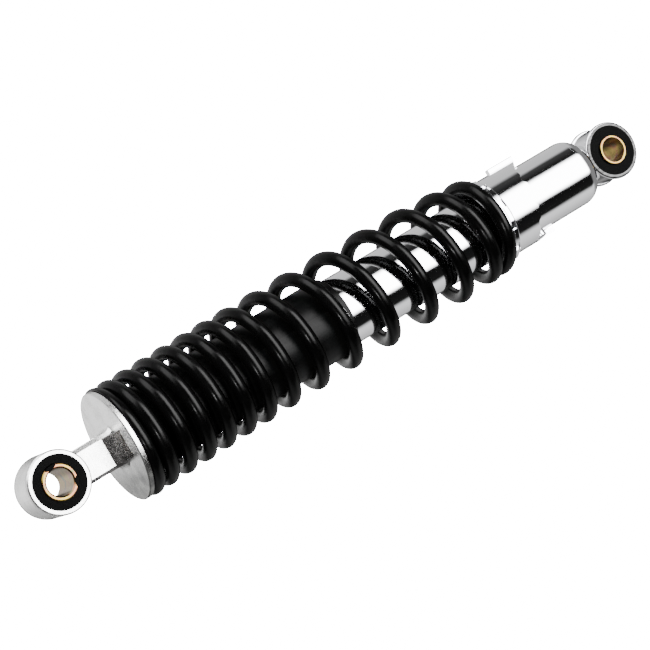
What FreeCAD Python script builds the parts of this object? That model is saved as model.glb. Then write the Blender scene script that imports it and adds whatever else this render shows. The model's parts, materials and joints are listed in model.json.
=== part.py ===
"""Motorcycle rear shock absorber: coil spring over a twin-tube damper, with a stepped preload cam.

Units are millimetres.  The origin is the centre of the upper eye's bore.  +Y runs along the bolt
bores and +Z runs along the damper, from the lower eye (swing arm) up to the upper eye (frame).
Everything hangs below the origin, so a level is given as a depth below it: z = -depth.
"""
import FreeCAD, Part
import math
import os

Vector = FreeCAD.Vector
UP = Vector(0, 0, 1)
ACROSS = Vector(0, 1, 0)

# ---- overall ----
EYE_TO_EYE = 330.0
BOLT_BORE_RADIUS = 6.1          # clearance for an M12 bolt
RUNNING_GAP = 0.05              # radial clearance of a running fit
FREE_GAP = 0.35                 # radial clearance of parts that only pass each other
FACE_GAP = 0.05                 # axial clearance of faces that turn on each other

# ---- upper eye: casting, bush, sleeve ----
TOP_EYE_RADIUS = 14.5
TOP_EYE_WIDTH = 22.8
TOP_BUSH_RADIUS = 12.4
TOP_SLEEVE_RADIUS = 8.2
TOP_SLEEVE_LENGTH = 24.8
EYE_EDGE_CHAMFER = 0.7
EYE_GROOVE_INSET = 2.2          # turned groove behind each face of the eye
EYE_GROOVE_WIDTH = 0.5
EYE_GROOVE_DEPTH = 0.4
SLEEVE_CHAMFER = 0.5
BORE_CHAMFER = 0.7
NECK_WIDTH = 16.4
NECK_THICKNESS = 16.0
NECK_BEVEL = 1.6                # the drafted edges, down to the ramps' width
NECK_TOP_FILLET = 5.0           # where the neck leaves the eye
NECK_FOOT_FILLET = 2.5          # where it meets the disc
NECK_EMBED = 0.3                # how far the neck's rounded top lies inside the eye's surface
NECK_ROOT_DEPTH = 1.0           # how far the neck runs on into the disc
PARTING_LINE_HEIGHT = 0.25
PARTING_LINE_WIDTH = 0.7
RAMP_WIDTH = 13.2
RAMP_START_DEPTH = 26.6
RAMP_REACH = 17.8
DISC_RADIUS = 26.8
DISC_FACE_DEPTH = 32.6
SEAT_DEPTH = 35.4               # where the spring's upper end bears
SPIGOT_RADIUS = 18.0
SPIGOT_DEPTH = 40.4

# ---- rod and what is on it ----
ROD_RADIUS = 5.0
ROD_SOCKET_DEPTH = 24.0
LOCK_NUT_FLATS = 17.0
LOCK_NUT_HEIGHT = 5.0
BUMP_WASHER_RADIUS = 12.0
BUMP_WASHER_THICKNESS = 1.5
BUMP_STOP_RADIUS = 11.0
BUMP_STOP_WAIST = 8.6
BUMP_STOP_HEIGHT = 20.0
BUMP_STOP_RIM = 3.0             # height of the full-width rim above the waist
BUMP_STOP_STEP = 1.0            # how much smaller the lower bulge is
BUMP_STOP_TIP = 8.0
DUST_TUBE_WALL = 1.05
DUST_TUBE_END_DEPTH = 156.9
DUST_TUBE_EDGE = 0.4
REBOUND_BUMPER_DEPTH = 150.3
REBOUND_BUMPER_HEIGHT = 6.0
REBOUND_BUMPER_RADIUS = 8.6
REBOUND_STOP_HEIGHT = 2.5
REBOUND_STOP_RADIUS = 9.0
SPINDLE_RADIUS = 3.5            # the rod's thin end, through the piston
SPINDLE_TAIL = 1.5              # what shows past its nut
ROD_BEVEL = 0.6
SHIM_THICKNESS = 0.3
SHIM_RADII = [5.6, 6.6, 7.6, 8.6]
PISTON_HEIGHT = 10.0
PISTON_RADIUS = 10.75
PISTON_PORT_COUNT = 6
PISTON_PORT_RADIUS = 1.1
PISTON_PORT_CIRCLE = 6.6
PISTON_NUT_FLATS = 10.0
PISTON_NUT_HEIGHT = 5.0
BAND_HEIGHT = 5.0
BAND_GROOVE_RADIUS = 9.8

# ---- damper body ----
BODY_RADIUS = 17.0
BODY_WALL = 1.5
BODY_TOP_DEPTH = 124.0
BODY_ROLL = 1.2                 # rounding of the rolled top edge
CRIMP_RADIUS = 12.5             # inner radius of the lip rolled over the seal case
DOME_DEPTH = 306.8
DOME_CORNER = 8.5
BOTTOM_STUB_RADIUS = 9.5
BOTTOM_EYE_RADIUS = 13.6
BOTTOM_RIM_RADIUS = 14.6
BOTTOM_RIM_WIDTH = 2.6
BOTTOM_RIM_ROUNDING = 1.1
BOTTOM_EYE_WIDTH = 19.0
BOTTOM_BUSH_RADIUS = 12.6
BOTTOM_SLEEVE_RADIUS = 7.3
BOTTOM_SLEEVE_LENGTH = 21.4

# ---- inside the damper ----
CYLINDER_RADIUS = 11.0
CYLINDER_WALL = 1.2
CYLINDER_TOP_DEPTH = 142.0
CYLINDER_END_DEPTH = 300.0
SEAL_CASE_HEIGHT = 2.5
GUIDE_HEAD_HEIGHT = 10.0
GUIDE_SPIGOT_HEIGHT = 8.0
GUIDE_BUSH_RADIUS = 6.5
GARTER_RADIUS = 6.9
GARTER_WIRE = 0.7
SEAL_GROOVE_DEPTH = 2.2         # the groove that holds the garter spring
SEAL_GROOVE_REACH = 1.6
O_RING_WIRE = 1.2
BASE_SPIGOT_HEIGHT = 8.0
BASE_FLANGE_HEIGHT = 4.0
BASE_FLANGE_GAP = 0.2           # between the flange and the body
BASE_PORT_RADIUS = 1.2
BASE_PORT_CIRCLE = 7.2
BASE_SLOT_WIDTH = 6.0
BASE_BOLT_RADIUS = 2.5
BASE_BOLT_HEAD_RADIUS = 4.4
BASE_BOLT_HEAD_HEIGHT = 1.6
BASE_SHIM_RADII = [6.0, 7.4, 8.8]

# ---- spring ----
WIRE_RADIUS = 3.45
SPRING_RADIUS = 24.3            # to the wire's centre
SPRING_END_RADIUS = 22.0        # the last turns close in on the cam
SPRING_BOW = 1.55               # how far the long spring bows towards +X half way down
SPRING_SEAT_DEPTH = 249.9       # where the spring's lower end bears
FIRST_TURN_DEPTH = 42.9
TURN_PITCHES = [9.3, 10.7, 10.8, 11.5, 11.5, 12.4, 15.7, 18.3, 21.4, 23.4, 22.4, 20.6, 15.5]
UPPER_END_PITCH = 6.95          # the closed end turns
LOWER_END_PITCH = 1.6
UPPER_END_TURNS = 1.25
LOWER_END_TURNS = 0.50
TAPER_TURNS = 2.6
POINTS_PER_TURN = 12
SWEEP_SPANS = 28                # the wire is swept in this many joined lengths

# ---- preload adjuster ----
SEAT_WASHER_RADIUS = 22.8
SEAT_WASHER_THICKNESS = 1.3
COLLAR_RADIUS = 22.6
COLLAR_HEIGHT = 2.9
COLLAR_FILLET = 1.6             # where the sleeve runs into the collar
COLLAR_EDGE = 0.4
COLLAR_NOTCHES = 12
COLLAR_NOTCH_WIDTH = 4.4
COLLAR_NOTCH_DEPTH = 1.3
CAM_RADIUS = 20.3
CAM_STEP_ANGLE = 34.0
CAM_POSITIONS = 4
CAM_LIFT = 4.0                  # over the whole adjustment
CAM_START_DEPTH = 268.8         # where the lugs bear at the softest position
CAM_END_DEPTH = 283.2           # the end wall's corner
CAM_NOTCH_DEPTH = 1.6
RIDGE_GAP = 0.45                # between the ridges and a passing lug
CAM_WALL_START = 118.0          # angle after the first position where the end wall starts to climb
CAM_WALL_TOP = 164.0
RIB_ANGLE = 4.0                 # the grip rib on the end wall
RIB_WIDTH = 3.4
RIB_HEIGHT = 2.3
RIB_START_DEPTH = 267.5
RIB_EDGE = 0.6
LUG_RADIUS = 3.0
LUG_REACH = 19.9
LUG_ANGLE = -160.5
LUG_COUNT = 2

# ---- making ----
MATCH = 0.001                   # how closely an edge is matched to a size
NUT_CORNER_SLOPE = 0.6
CUTTER_MARGIN = 6.0             # how far the cam's cutters stand out past it
CUTTER_FALL = 40.0              # how far they reach below it


def ring(outer, inner, depth, height):
    """A plain ring about the damper's axis, from a depth downwards."""
    base = Vector(0, 0, -depth - height)
    solid = Part.makeCylinder(outer, height, base, UP)
    if inner > 0:
        solid = solid.cut(Part.makeCylinder(inner, height, base, UP))
    return solid


def cross_cylinder(radius, width, depth):
    """A cylinder along the bolt's axis, centred on the damper's axis."""
    return Part.makeCylinder(radius, width, Vector(0, -width / 2, -depth), ACROSS)


def turned(profile):
    """A solid of revolution about the damper's axis from (radius, depth) corners."""
    points = [Vector(radius, 0, -depth) for radius, depth in profile]
    outline = Part.makePolygon(points + points[:1])
    return Part.Face(outline).revolve(Vector(0, 0, 0), UP, 360)


def hex_nut(flats, depth, height, hole):
    """A hexagon nut about the damper's axis with chamfered corners."""
    corner = flats / math.sqrt(3)
    angles = [math.radians(60 * side) for side in range(6)]
    corners = [Vector(corner * math.cos(a), corner * math.sin(a), -depth - height) for a in angles]
    prism = Part.Face(Part.makePolygon(corners + corners[:1])).extrude(Vector(0, 0, height))
    drop = (corner - flats / 2) * NUT_CORNER_SLOPE
    rounding = turned([(0, depth), (flats / 2, depth), (corner, depth + drop),
                       (corner, depth + height - drop), (flats / 2, depth + height), (0, depth + height)])
    return prism.common(rounding).cut(ring(hole, 0, depth, height))


def drilled(solid, radius, circle, count, depth, height, start_angle=0.0):
    """Cut a circle of axial holes through a solid."""
    for index in range(count):
        angle = math.radians(start_angle + 360 * index / count)
        centre = Vector(circle * math.cos(angle), circle * math.sin(angle), -depth - height)
        solid = solid.cut(Part.makeCylinder(radius, height, centre, UP))
    return solid


def edges_on_cylinder(solid, radius, depth):
    """The circular edges of one radius whose centre lies on the bolt axis at a depth."""
    found = []
    for edge in solid.Edges:
        curve = edge.Curve
        if curve.TypeId == "Part::GeomCircle" and abs(curve.Radius - radius) < MATCH:
            centre = curve.Center
            if abs(centre.x) < MATCH and abs(centre.z + depth) < MATCH:
                found.append(edge)
    return found


# ---- upper end ----

def top_sleeve():
    """Steel sleeve clamped on the frame's bolt."""
    sleeve = cross_cylinder(TOP_SLEEVE_RADIUS, TOP_SLEEVE_LENGTH, 0)
    sleeve = sleeve.cut(cross_cylinder(BOLT_BORE_RADIUS, TOP_SLEEVE_LENGTH, 0))
    sleeve = sleeve.makeChamfer(SLEEVE_CHAMFER, edges_on_cylinder(sleeve, TOP_SLEEVE_RADIUS, 0))
    return sleeve.makeChamfer(BORE_CHAMFER, edges_on_cylinder(sleeve, BOLT_BORE_RADIUS, 0))


def top_bush():
    """Rubber bush pressed into the upper eye."""
    bush = cross_cylinder(TOP_BUSH_RADIUS, TOP_EYE_WIDTH, 0)
    return bush.cut(cross_cylinder(TOP_SLEEVE_RADIUS + RUNNING_GAP, TOP_EYE_WIDTH, 0))


def neck_outline(grow):
    """Front outline of the eye and neck with their fillets, in the plane across the bolt axis."""
    eye = TOP_EYE_RADIUS - NECK_EMBED + grow
    half = NECK_WIDTH / 2 + grow
    top = NECK_TOP_FILLET - grow
    foot = NECK_FOOT_FILLET - grow
    level = math.sqrt((eye + top) ** 2 - (half + top) ** 2)
    share = eye / (eye + top)
    half_turn = math.atan2(level, half + top) / 2
    root = DISC_FACE_DEPTH + NECK_ROOT_DEPTH

    def spot(side, x, depth):
        return Vector(side * x, 0, -depth)

    def half_edges(side):
        start = spot(side, share * (half + top), share * level)
        middle = spot(side, half + top - top * math.cos(half_turn), level - top * math.sin(half_turn))
        neck_top = spot(side, half, level)
        neck_foot = spot(side, half, DISC_FACE_DEPTH - foot)
        turn = foot * (1 - math.sqrt(0.5))
        flare = spot(side, half + turn, DISC_FACE_DEPTH - turn)
        end = spot(side, half + foot, DISC_FACE_DEPTH)
        below = spot(side, half + foot, root)
        return start, below, [Part.Arc(start, middle, neck_top).toShape(), Part.makeLine(neck_top, neck_foot),
                              Part.Arc(neck_foot, flare, end).toShape(), Part.makeLine(end, below)]

    right_start, right_end, right = half_edges(1)
    left_start, left_end, left = half_edges(-1)
    crown = Part.Arc(left_start, Vector(0, 0, eye), right_start).toShape()
    return Part.Wire(Part.__sortEdges__([crown] + right + [Part.makeLine(right_end, left_end)] + left))


def neck_plate(grow, thickness):
    """The eye's and neck's outline as a plate, centred on the damper's axis."""
    plate = Part.Face(neck_outline(grow)).extrude(ACROSS * thickness)
    plate.translate(ACROSS * (-thickness / 2))
    return plate


def neck():
    """Flat bar between the upper eye and the spring seat, with drafted edges and a parting line."""
    bar = neck_plate(0, NECK_THICKNESS)
    edges = [edge for edge in bar.Edges if abs(abs(edge.CenterOfMass.y) - NECK_THICKNESS / 2) < MATCH]
    shown = [edge for edge in edges if edge.CenterOfMass.z > -DISC_FACE_DEPTH]
    return bar.makeChamfer(NECK_BEVEL, shown).fuse(neck_plate(PARTING_LINE_HEIGHT, PARTING_LINE_WIDTH))


def ramp(side):
    """Wedge that spreads the neck's load into the seat disc, on one face of the neck."""
    corners = [(NECK_THICKNESS / 4, RAMP_START_DEPTH - 1), (NECK_THICKNESS / 2, RAMP_START_DEPTH),
               (RAMP_REACH, DISC_FACE_DEPTH), (RAMP_REACH, DISC_FACE_DEPTH + 1),
               (NECK_THICKNESS / 4, DISC_FACE_DEPTH + 1)]
    points = [Vector(-RAMP_WIDTH / 2, side * y, -depth) for y, depth in corners]
    return Part.Face(Part.makePolygon(points + points[:1])).extrude(Vector(RAMP_WIDTH, 0, 0))


def top_bracket():
    """Aluminium casting: eye, neck, ramps, spring seat disc and the spigot for the dust tube."""
    eye = cross_cylinder(TOP_EYE_RADIUS, TOP_EYE_WIDTH, 0)
    eye = eye.makeChamfer(EYE_EDGE_CHAMFER, edges_on_cylinder(eye, TOP_EYE_RADIUS, 0))
    for side in (-1, 1):
        groove = cross_cylinder(TOP_EYE_RADIUS + 1, EYE_GROOVE_WIDTH, 0)
        groove = groove.cut(cross_cylinder(TOP_EYE_RADIUS - EYE_GROOVE_DEPTH, EYE_GROOVE_WIDTH, 0))
        groove.translate(ACROSS * (side * (TOP_EYE_WIDTH / 2 - EYE_GROOVE_INSET)))
        eye = eye.cut(groove)
    rim = 0.5
    disc = turned([(0, DISC_FACE_DEPTH), (DISC_RADIUS - rim, DISC_FACE_DEPTH),
                   (DISC_RADIUS, DISC_FACE_DEPTH + rim), (DISC_RADIUS, SEAT_DEPTH - rim),
                   (DISC_RADIUS - rim, SEAT_DEPTH), (SPIGOT_RADIUS, SEAT_DEPTH),
                   (SPIGOT_RADIUS, SPIGOT_DEPTH), (0, SPIGOT_DEPTH)])
    casting = eye.fuse([neck(), disc, ramp(-1), ramp(1)]).removeSplitter()
    casting = casting.cut(cross_cylinder(TOP_BUSH_RADIUS, TOP_EYE_WIDTH, 0))
    return casting.cut(ring(ROD_RADIUS, 0, ROD_SOCKET_DEPTH, SPIGOT_DEPTH - ROD_SOCKET_DEPTH))


def dust_tube():
    """Black plastic tube that keeps dirt off the rod, pushed over the bracket's spigot."""
    inner = SPIGOT_RADIUS
    outer = inner + DUST_TUBE_WALL
    bevel = DUST_TUBE_EDGE
    end = DUST_TUBE_END_DEPTH
    return turned([(inner, SEAT_DEPTH), (outer, SEAT_DEPTH), (outer, end - bevel), (outer - bevel, end),
                   (inner + bevel, end), (inner, end - bevel)])


# ---- rod group ----

NUT_TOP = SPIGOT_DEPTH
WASHER_TOP = NUT_TOP + LOCK_NUT_HEIGHT
BUMP_TOP = WASHER_TOP + BUMP_WASHER_THICKNESS
STOP_TOP = REBOUND_BUMPER_DEPTH + REBOUND_BUMPER_HEIGHT
SPINDLE_TOP = STOP_TOP + REBOUND_STOP_HEIGHT
UPPER_SHIM_TOP = SPINDLE_TOP
PISTON_TOP = UPPER_SHIM_TOP + len(SHIM_RADII) * SHIM_THICKNESS
LOWER_SHIM_TOP = PISTON_TOP + PISTON_HEIGHT
PISTON_NUT_TOP = LOWER_SHIM_TOP + len(SHIM_RADII) * SHIM_THICKNESS
ROD_END = PISTON_NUT_TOP + PISTON_NUT_HEIGHT + SPINDLE_TAIL
BAND_TOP = PISTON_TOP + (PISTON_HEIGHT - BAND_HEIGHT) / 2


def piston_rod():
    """Hard-chromed rod with a thin end for the piston."""
    bevel = ROD_BEVEL
    return turned([(0, ROD_SOCKET_DEPTH), (ROD_RADIUS - bevel, ROD_SOCKET_DEPTH),
                   (ROD_RADIUS, ROD_SOCKET_DEPTH + bevel), (ROD_RADIUS, SPINDLE_TOP),
                   (SPINDLE_RADIUS, SPINDLE_TOP), (SPINDLE_RADIUS, ROD_END - bevel),
                   (SPINDLE_RADIUS - bevel, ROD_END), (0, ROD_END)])


def rod_lock_nut():
    """Nut that locks the rod in the bracket."""
    return hex_nut(LOCK_NUT_FLATS, NUT_TOP, LOCK_NUT_HEIGHT, ROD_RADIUS)


def bump_stop_washer():
    """Washer that the bump stop bears on."""
    return ring(BUMP_WASHER_RADIUS, ROD_RADIUS, WASHER_TOP, BUMP_WASHER_THICKNESS)


def bump_stop():
    """Rubber bump stop with a waist."""
    end = BUMP_TOP + BUMP_STOP_HEIGHT
    middle = BUMP_TOP + BUMP_STOP_HEIGHT / 2
    return turned([(ROD_RADIUS, BUMP_TOP), (BUMP_STOP_RADIUS, BUMP_TOP),
                   (BUMP_STOP_RADIUS, BUMP_TOP + BUMP_STOP_RIM), (BUMP_STOP_WAIST, middle),
                   (BUMP_STOP_RADIUS - BUMP_STOP_STEP, middle + BUMP_STOP_RIM), (BUMP_STOP_TIP, end),
                   (ROD_RADIUS, end)])


def rebound_bumper():
    """Rubber ring that meets the rod guide when the damper tops out."""
    return ring(REBOUND_BUMPER_RADIUS, ROD_RADIUS, REBOUND_BUMPER_DEPTH, REBOUND_BUMPER_HEIGHT)


def rebound_stop():
    """Steel collar swaged on the rod under the rebound bumper."""
    return ring(REBOUND_STOP_RADIUS, ROD_RADIUS, STOP_TOP, REBOUND_STOP_HEIGHT)


def shims(top, radii):
    """A valve stack: thin spring-steel discs, each its own solid."""
    discs = []
    for index, radius in enumerate(radii):
        discs.append(ring(radius, SPINDLE_RADIUS, top + index * SHIM_THICKNESS, SHIM_THICKNESS))
    return Part.makeCompound(discs)


def compression_shims():
    """Stack above the piston, largest disc against the piston."""
    return shims(UPPER_SHIM_TOP, SHIM_RADII)


def rebound_shims():
    """Stack below the piston, largest disc against the piston."""
    return shims(LOWER_SHIM_TOP, SHIM_RADII[::-1])


def piston():
    """Sintered piston with a band groove and a circle of ports."""
    bottom = PISTON_TOP + PISTON_HEIGHT
    band_end = BAND_TOP + BAND_HEIGHT
    body = turned([(SPINDLE_RADIUS, PISTON_TOP), (PISTON_RADIUS, PISTON_TOP), (PISTON_RADIUS, BAND_TOP),
                   (BAND_GROOVE_RADIUS, BAND_TOP), (BAND_GROOVE_RADIUS, band_end),
                   (PISTON_RADIUS, band_end), (PISTON_RADIUS, bottom), (SPINDLE_RADIUS, bottom)])
    return drilled(body, PISTON_PORT_RADIUS, PISTON_PORT_CIRCLE, PISTON_PORT_COUNT, PISTON_TOP, PISTON_HEIGHT)


def piston_nut():
    """Nut that clamps the piston and its valve stacks."""
    return hex_nut(PISTON_NUT_FLATS, PISTON_NUT_TOP, PISTON_NUT_HEIGHT, SPINDLE_RADIUS)


def piston_ring():
    """Low-friction band between the piston and the cylinder."""
    return ring(CYLINDER_RADIUS - RUNNING_GAP, BAND_GROOVE_RADIUS + RUNNING_GAP,
                BAND_TOP + FACE_GAP, BAND_HEIGHT - 2 * FACE_GAP)


# ---- damper body ----

BODY_BORE = BODY_RADIUS - BODY_WALL
CASE_TOP = BODY_TOP_DEPTH + BODY_WALL
SEAL_TOP = CASE_TOP + SEAL_CASE_HEIGHT
GUIDE_TOP = CYLINDER_TOP_DEPTH - GUIDE_HEAD_HEIGHT
BASE_TOP = CYLINDER_END_DEPTH - BASE_SPIGOT_HEIGHT
DOME_END = DOME_DEPTH + DOME_CORNER


def body_tube():
    """Chromed outer tube with its top edge rolled in over the seal case."""
    top = BODY_TOP_DEPTH
    roll = BODY_ROLL
    return turned([(CRIMP_RADIUS, top), (BODY_RADIUS - roll, top), (BODY_RADIUS, top + roll),
                   (BODY_RADIUS, DOME_DEPTH), (BODY_BORE, DOME_DEPTH), (BODY_BORE, CASE_TOP),
                   (CRIMP_RADIUS, CASE_TOP)])


def dome_half(radius, corner, flat_depth):
    """Quarter outline of a dished end: a corner arc from the wall to the flat."""
    centre_radius = radius - corner
    middle = math.radians(45)
    start = Vector(radius, 0, -(flat_depth - corner))
    bend = Vector(centre_radius + corner * math.cos(middle), 0,
                  -(flat_depth - corner) - corner * math.sin(middle))
    end = Vector(centre_radius, 0, -flat_depth)
    return Part.Arc(start, bend, end).toShape(), start, end


def body_end_cap():
    """Dished lower end of the body."""
    outer, outer_start, outer_end = dome_half(BODY_RADIUS, DOME_CORNER, DOME_END)
    inner, inner_start, inner_end = dome_half(BODY_BORE, DOME_CORNER - BODY_WALL, DOME_END - BODY_WALL)
    outer_axis = Vector(0, 0, -DOME_END)
    inner_axis = Vector(0, 0, -DOME_END + BODY_WALL)
    wire = Part.Wire([outer, Part.makeLine(outer_end, outer_axis), Part.makeLine(outer_axis, inner_axis),
                      Part.makeLine(inner_axis, inner_end), inner, Part.makeLine(inner_start, outer_start)])
    return Part.Face(wire).revolve(Vector(0, 0, 0), UP, 360)


def bottom_eye():
    """Lower eye: barrel with a rim at each end, on a stub welded to the end cap."""
    barrel = cross_cylinder(BOTTOM_EYE_RADIUS, BOTTOM_EYE_WIDTH, EYE_TO_EYE)
    stub_height = EYE_TO_EYE - DOME_END
    stub = ring(BOTTOM_STUB_RADIUS, 0, DOME_END, stub_height)
    pieces = [stub]
    for side in (-1, 1):
        start = Vector(0, side * BOTTOM_EYE_WIDTH / 2, -EYE_TO_EYE)
        rim = Part.makeCylinder(BOTTOM_RIM_RADIUS, BOTTOM_RIM_WIDTH, start, ACROSS * -side)
        pieces.append(rim.makeFillet(BOTTOM_RIM_ROUNDING, edges_on_cylinder(rim, BOTTOM_RIM_RADIUS, EYE_TO_EYE)))
    eye = barrel.fuse(pieces).removeSplitter()
    return eye.cut(cross_cylinder(BOTTOM_BUSH_RADIUS, BOTTOM_EYE_WIDTH + 2, EYE_TO_EYE))


def bottom_bush():
    """Rubber bush pressed into the lower eye."""
    bush = cross_cylinder(BOTTOM_BUSH_RADIUS, BOTTOM_EYE_WIDTH, EYE_TO_EYE)
    return bush.cut(cross_cylinder(BOTTOM_SLEEVE_RADIUS + RUNNING_GAP, BOTTOM_EYE_WIDTH, EYE_TO_EYE))


def bottom_sleeve():
    """Steel sleeve clamped on the swing arm's bolt."""
    sleeve = cross_cylinder(BOTTOM_SLEEVE_RADIUS, BOTTOM_SLEEVE_LENGTH, EYE_TO_EYE)
    sleeve = sleeve.cut(cross_cylinder(BOLT_BORE_RADIUS, BOTTOM_SLEEVE_LENGTH, EYE_TO_EYE))
    sleeve = sleeve.makeChamfer(SLEEVE_CHAMFER / 2, edges_on_cylinder(sleeve, BOTTOM_SLEEVE_RADIUS, EYE_TO_EYE))
    return sleeve.makeChamfer(SLEEVE_CHAMFER / 2, edges_on_cylinder(sleeve, BOLT_BORE_RADIUS, EYE_TO_EYE))


def cam_lugs():
    """Pegs on the body that carry the cam's steps."""
    pegs = []
    depth = CAM_START_DEPTH + LUG_RADIUS
    tube = ring(BODY_RADIUS, 0, depth - 2 * LUG_RADIUS, 4 * LUG_RADIUS)
    for index in range(LUG_COUNT):
        angle = math.radians(LUG_ANGLE + 360 * index / LUG_COUNT)
        outward = Vector(math.cos(angle), math.sin(angle), 0)
        inner = BODY_RADIUS - BODY_WALL
        peg = Part.makeCylinder(LUG_RADIUS, LUG_REACH - inner, outward * inner - Vector(0, 0, depth), outward)
        pegs.append(peg.cut(tube))
    return Part.makeCompound(pegs)


# ---- inside the damper ----

def seal_case():
    """Steel disc under the rolled edge, over the seal."""
    return ring(BODY_BORE, ROD_RADIUS + FREE_GAP, CASE_TOP, SEAL_CASE_HEIGHT)


def rod_oil_seal():
    """Rubber seal with a groove for its garter spring."""
    end = GUIDE_TOP
    floor = end - SEAL_GROOVE_DEPTH
    outer = GARTER_RADIUS + SEAL_GROOVE_REACH
    inner = GARTER_RADIUS - GARTER_WIRE
    return turned([(ROD_RADIUS + RUNNING_GAP, SEAL_TOP), (BODY_BORE, SEAL_TOP), (BODY_BORE, end),
                   (outer, end), (outer, floor), (inner, floor), (inner, end),
                   (ROD_RADIUS + RUNNING_GAP, end)])


def seal_spring():
    """Garter spring around the seal's lip."""
    middle = GUIDE_TOP - SEAL_GROOVE_DEPTH / 2
    return Part.makeTorus(GARTER_RADIUS, GARTER_WIRE, Vector(0, 0, -middle), UP)


def rod_guide():
    """Sintered guide: head in the body, spigot in the cylinder, counterbored for its bush."""
    head = CYLINDER_TOP_DEPTH
    end = head + GUIDE_SPIGOT_HEIGHT
    groove_top = GUIDE_TOP + 4
    groove_end = groove_top + 2 * O_RING_WIRE
    groove_radius = BODY_BORE - 2 * O_RING_WIRE
    return turned([(GUIDE_BUSH_RADIUS, GUIDE_TOP), (BODY_BORE, GUIDE_TOP), (BODY_BORE, groove_top),
                   (groove_radius, groove_top), (groove_radius, groove_end), (BODY_BORE, groove_end),
                   (BODY_BORE, head), (CYLINDER_RADIUS, head), (CYLINDER_RADIUS, end),
                   (GUIDE_BUSH_RADIUS, end)])


def guide_o_ring():
    """O-ring between the guide and the body."""
    centre = GUIDE_TOP + 4 + O_RING_WIRE
    return Part.makeTorus(BODY_BORE - O_RING_WIRE, O_RING_WIRE, Vector(0, 0, -centre), UP)


def guide_bush():
    """Bearing bush for the rod."""
    return ring(GUIDE_BUSH_RADIUS, ROD_RADIUS + RUNNING_GAP, GUIDE_TOP, GUIDE_HEAD_HEIGHT + GUIDE_SPIGOT_HEIGHT)


def inner_cylinder():
    """Pressure tube that the piston runs in."""
    return ring(CYLINDER_RADIUS + CYLINDER_WALL, CYLINDER_RADIUS, CYLINDER_TOP_DEPTH,
                CYLINDER_END_DEPTH - CYLINDER_TOP_DEPTH)


def base_valve_body():
    """Foot valve in the cylinder's end: ports to the reserve, slotted flange on the end cap."""
    end = CYLINDER_END_DEPTH + BASE_FLANGE_HEIGHT
    flange = BODY_BORE - BASE_FLANGE_GAP
    body = turned([(BASE_BOLT_RADIUS, BASE_TOP), (CYLINDER_RADIUS, BASE_TOP),
                   (CYLINDER_RADIUS, CYLINDER_END_DEPTH), (flange, CYLINDER_END_DEPTH), (flange, end),
                   (BASE_BOLT_RADIUS, end)])
    body = drilled(body, BASE_PORT_RADIUS, BASE_PORT_CIRCLE, PISTON_PORT_COUNT, BASE_TOP, end - BASE_TOP)
    slot = Part.makeBox(2 * BODY_RADIUS, BASE_SLOT_WIDTH, BASE_FLANGE_HEIGHT / 2,
                        Vector(-BODY_RADIUS, -BASE_SLOT_WIDTH / 2, -end))
    cross_slot = slot.copy()
    cross_slot.rotate(Vector(0, 0, 0), UP, 90)
    hub = ring(BASE_PORT_CIRCLE - BASE_PORT_RADIUS, 0, end - BASE_FLANGE_HEIGHT, BASE_FLANGE_HEIGHT)
    return body.cut(slot.fuse(cross_slot).cut(hub))


def base_valve_shims():
    """Stack on top of the foot valve, largest disc against the body."""
    discs = []
    for index, radius in enumerate(BASE_SHIM_RADII):
        depth = BASE_TOP - (len(BASE_SHIM_RADII) - index) * SHIM_THICKNESS
        discs.append(ring(radius, BASE_BOLT_RADIUS, depth, SHIM_THICKNESS))
    return Part.makeCompound(discs)


def base_valve_bolt():
    """Rivet that holds the foot valve together."""
    head_radius = BASE_BOLT_HEAD_RADIUS
    head_height = BASE_BOLT_HEAD_HEIGHT
    shim_top = BASE_TOP - len(BASE_SHIM_RADII) * SHIM_THICKNESS
    end = CYLINDER_END_DEPTH + BASE_FLANGE_HEIGHT
    return turned([(0, shim_top - head_height), (head_radius, shim_top - head_height), (head_radius, shim_top),
                   (BASE_BOLT_RADIUS, shim_top), (BASE_BOLT_RADIUS, end), (head_radius, end),
                   (head_radius, end + head_height), (0, end + head_height)])


# ---- spring ----

def turn_levels():
    """Turn number and depth of the wire's centre, from the upper end to the lower end."""
    levels = [(-UPPER_END_TURNS, FIRST_TURN_DEPTH - UPPER_END_TURNS * UPPER_END_PITCH), (0.0, FIRST_TURN_DEPTH)]
    for pitch in TURN_PITCHES:
        turn, depth = levels[-1]
        levels.append((turn + 1.0, depth + pitch))
    turn, depth = levels[-1]
    levels.append((turn + LOWER_END_TURNS, depth + LOWER_END_TURNS * LOWER_END_PITCH))
    return levels


def spring_path():
    """The wire's centre line: a right-hand helix of varying pitch, slightly bowed, tapered at the lower end."""
    levels = turn_levels()
    depth_curve = Part.BSplineCurve()
    depth_curve.interpolate(Points=[Vector(turn, depth, 0) for turn, depth in levels],
                            Parameters=[turn for turn, depth in levels])
    first = levels[0][0]
    last = levels[-1][0]
    steps = round((last - first) * POINTS_PER_TURN)
    points = []
    for step in range(steps + 1):
        turn = first + (last - first) * step / steps
        closeness = max(0.0, 1.0 - (last - turn) / TAPER_TURNS)
        blend = closeness * closeness * (3 - 2 * closeness)
        radius = SPRING_RADIUS + (SPRING_END_RADIUS - SPRING_RADIUS) * blend
        angle = -2 * math.pi * turn
        depth = depth_curve.value(turn).y
        bow = SPRING_BOW * math.sin(math.pi * (depth - levels[0][1]) / (levels[-1][1] - levels[0][1]))
        points.append(Vector(radius * math.cos(angle) + bow, radius * math.sin(angle), -depth))
    curve = Part.BSplineCurve()
    curve.interpolate(points)
    return curve


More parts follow.
